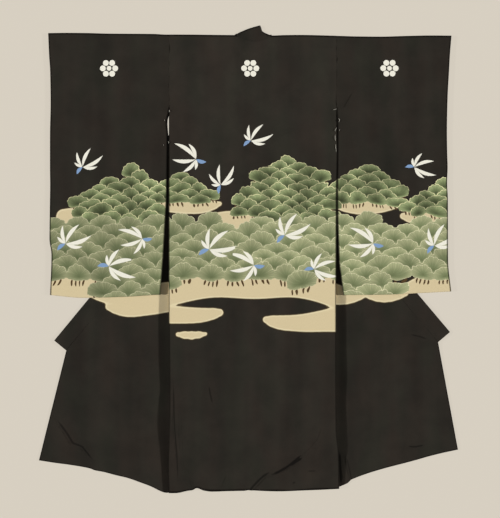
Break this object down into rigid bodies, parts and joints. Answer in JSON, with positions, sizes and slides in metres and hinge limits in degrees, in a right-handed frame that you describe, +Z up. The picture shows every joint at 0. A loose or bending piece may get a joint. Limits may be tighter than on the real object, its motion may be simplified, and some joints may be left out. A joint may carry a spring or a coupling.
{
  "type": "infant's formal kimono laid flat",
  "caption": "Infant's formal silk kimono laid flat with its back up, large open sleeves spread and both fronts folded outwards under the back.",
  "frame": {"origin": "middle of the laid-out garment's box, on the surface that it lies on", "axes": "+Y from the hem to the shoulders, +X to the wearer's right sleeve, +Z up from the surface, out of the back"},
  "size_m": [0.8845, 0.9873, 0.013],
  "materials": {
    "black_silk": "satin",
    "dyed_silk": "satin"
  },
  "bodies": {
    "root": {"back": "black_silk", "front_left": "dyed_silk", "front_right": "dyed_silk", "overlap_left": "dyed_silk", "overlap_right": "dyed_silk", "collar_left": "dyed_silk", "collar_neck": "black_silk", "collar_right": "dyed_silk", "sleeve_left": "black_silk", "sleeve_right": "black_silk"}
  },
  "joints": []
}
